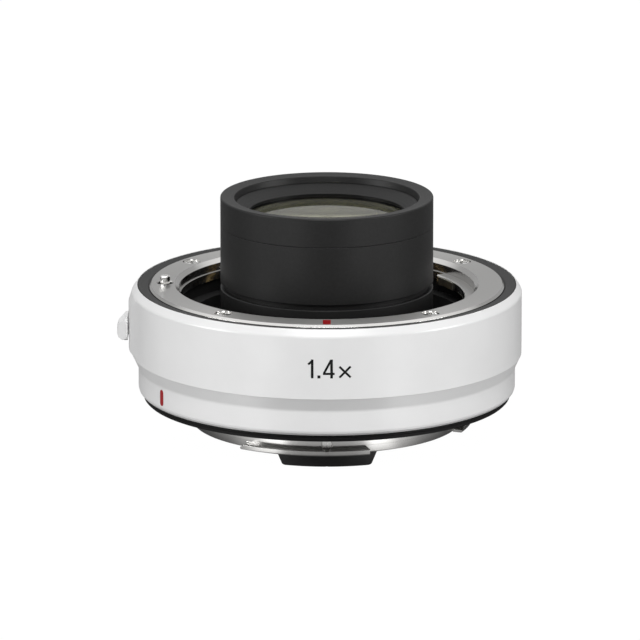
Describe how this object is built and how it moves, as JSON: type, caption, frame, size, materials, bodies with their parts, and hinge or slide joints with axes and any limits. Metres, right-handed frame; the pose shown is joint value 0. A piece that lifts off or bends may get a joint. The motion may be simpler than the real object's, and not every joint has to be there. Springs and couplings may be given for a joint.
{
  "type": "camera teleconverter",
  "caption": "Short white camera teleconverter with a black optical barrel, a steel lens mount with a lock release in front and a bayonet mount behind.",
  "frame": {"origin": "on the optical axis, in the plane of the rear mount face", "axes": "+Z along the optical axis towards the lens side, -Y towards the magnification mark, -X towards the lens release"},
  "size_m": [0.0739, 0.0712, 0.045],
  "materials": {
    "white_paint": "fine matt texture",
    "knob_white": "satin",
    "trim_black": "satin",
    "mount_steel": "turned satin",
    "screw_steel": "polished",
    "black_screw": "blackened",
    "spring_steel": "rolled",
    "index_red": "enamel fill",
    "black_plastic": "matt",
    "cast_alloy": "die cast",
    "barrel_black": "black anodised, semi matt",
    "lens_glass": "coated",
    "contact_gold": "gold plated",
    "board_green": "solder mask",
    "chip_black": "moulded",
    "ribbon_amber": "film",
    "seal_rubber": "matt"
  },
  "bodies": {
    "housing": {"outer_shell": "white_paint", "front_trim_ring": "trim_black", "front_mount_ring": "mount_steel", "rear_mount": "mount_steel", "front_mount_screws": "screw_steel", "rear_mount_screws": "screw_steel", "rear_stop_screw": "screw_steel", "front_index_mark": "index_red", "rear_index_mark": "index_red", "bayonet_leaf_springs": "spring_steel", "lock_spring": "spring_steel", "contact_springs": "spring_steel", "throat_lining": "black_plastic", "inner_frame": "cast_alloy", "barrel_base": "barrel_black", "lens_barrel": "barrel_black", "barrel_front_ring": "barrel_black", "front_retaining_ring": "barrel_black", "lens_spacer": "barrel_black", "middle_retaining_ring": "barrel_black", "rear_lens_cell": "barrel_black", "rear_retaining_ring": "barrel_black", "barrel_screws": "screw_steel", "rear_cell_screws": "screw_steel", "main_board": "board_green", "board_chips": "chip_black", "board_screws": "screw_steel", "front_contact_block": "black_plastic", "contact_block_screws": "screw_steel", "front_ribbon": "ribbon_amber", "rear_ribbon": "ribbon_amber", "rear_seal_ring": "seal_rubber", "rear_baffle": "black_plastic", "rear_guard": "black_plastic", "rear_contact_block": "black_plastic", "rear_contacts": "contact_gold", "rear_block_screws": "black_screw", "lens_1": "lens_glass", "lens_2": "lens_glass", "lens_3": "lens_glass", "lens_4": "lens_glass", "lens_5": "lens_glass", "lens_6": "lens_glass", "lens_7": "lens_glass"},
    "release": {"release_knob": "knob_white", "release_slider": "spring_steel", "release_screws": "screw_steel", "lock_pin": "screw_steel"},
    "contact_01": {"contact_pin_01": "contact_gold"},
    "contact_02": {"contact_pin_02": "contact_gold"},
    "contact_03": {"contact_pin_03": "contact_gold"},
    "contact_04": {"contact_pin_04": "contact_gold"},
    "contact_05": {"contact_pin_05": "contact_gold"},
    "contact_06": {"contact_pin_06": "contact_gold"},
    "contact_07": {"contact_pin_07": "contact_gold"},
    "contact_08": {"contact_pin_08": "contact_gold"},
    "contact_09": {"contact_pin_09": "contact_gold"},
    "contact_10": {"contact_pin_10": "contact_gold"},
    "contact_11": {"contact_pin_11": "contact_gold"},
    "contact_12": {"contact_pin_12": "contact_gold"}
  },
  "joints": [
    {"name": "release_slide", "type": "slide", "parent": "housing", "child": "release", "axis": [0, 0, -1], "range_m": [0, 0.0016], "stiffness_N_per_m": 300, "springref_m": -0.002, "deforming": ["lock_spring"]},
    {"name": "contact_01_press", "type": "slide", "parent": "housing", "child": "contact_01", "axis": [0, 0, -1], "range_m": [0, 0.0008], "stiffness_N_per_m": 50, "springref_m": -0.001, "deforming": ["contact_springs"]},
    {"name": "contact_02_press", "type": "slide", "parent": "housing", "child": "contact_02", "axis": [0, 0, -1], "range_m": [0, 0.0008], "stiffness_N_per_m": 50, "springref_m": -0.001, "deforming": ["contact_springs"]},
    {"name": "contact_03_press", "type": "slide", "parent": "housing", "child": "contact_03", "axis": [0, 0, -1], "range_m": [0, 0.0008], "stiffness_N_per_m": 50, "springref_m": -0.001, "deforming": ["contact_springs"]},
    {"name": "contact_04_press", "type": "slide", "parent": "housing", "child": "contact_04", "axis": [0, 0, -1], "range_m": [0, 0.0008], "stiffness_N_per_m": 50, "springref_m": -0.001, "deforming": ["contact_springs"]},
    {"name": "contact_05_press", "type": "slide", "parent": "housing", "child": "contact_05", "axis": [0, 0, -1], "range_m": [0, 0.0008], "stiffness_N_per_m": 50, "springref_m": -0.001, "deforming": ["contact_springs"]},
    {"name": "contact_06_press", "type": "slide", "parent": "housing", "child": "contact_06", "axis": [0, 0, -1], "range_m": [0, 0.0008], "stiffness_N_per_m": 50, "springref_m": -0.001, "deforming": ["contact_springs"]},
    {"name": "contact_07_press", "type": "slide", "parent": "housing", "child": "contact_07", "axis": [0, 0, -1], "range_m": [0, 0.0008], "stiffness_N_per_m": 50, "springref_m": -0.001, "deforming": ["contact_springs"]},
    {"name": "contact_08_press", "type": "slide", "parent": "housing", "child": "contact_08", "axis": [0, 0, -1], "range_m": [0, 0.0008], "stiffness_N_per_m": 50, "springref_m": -0.001, "deforming": ["contact_springs"]},
    {"name": "contact_09_press", "type": "slide", "parent": "housing", "child": "contact_09", "axis": [0, 0, -1], "range_m": [0, 0.0008], "stiffness_N_per_m": 50, "springref_m": -0.001, "deforming": ["contact_springs"]},
    {"name": "contact_10_press", "type": "slide", "parent": "housing", "child": "contact_10", "axis": [0, 0, -1], "range_m": [0, 0.0008], "stiffness_N_per_m": 50, "springref_m": -0.001, "deforming": ["contact_springs"]},
    {"name": "contact_11_press", "type": "slide", "parent": "housing", "child": "contact_11", "axis": [0, 0, -1], "range_m": [0, 0.0008], "stiffness_N_per_m": 50, "springref_m": -0.001, "deforming": ["contact_springs"]},
    {"name": "contact_12_press", "type": "slide", "parent": "housing", "child": "contact_12", "axis": [0, 0, -1], "range_m": [0, 0.0008], "stiffness_N_per_m": 50, "springref_m": -0.001, "deforming": ["contact_springs"]}
  ]
}
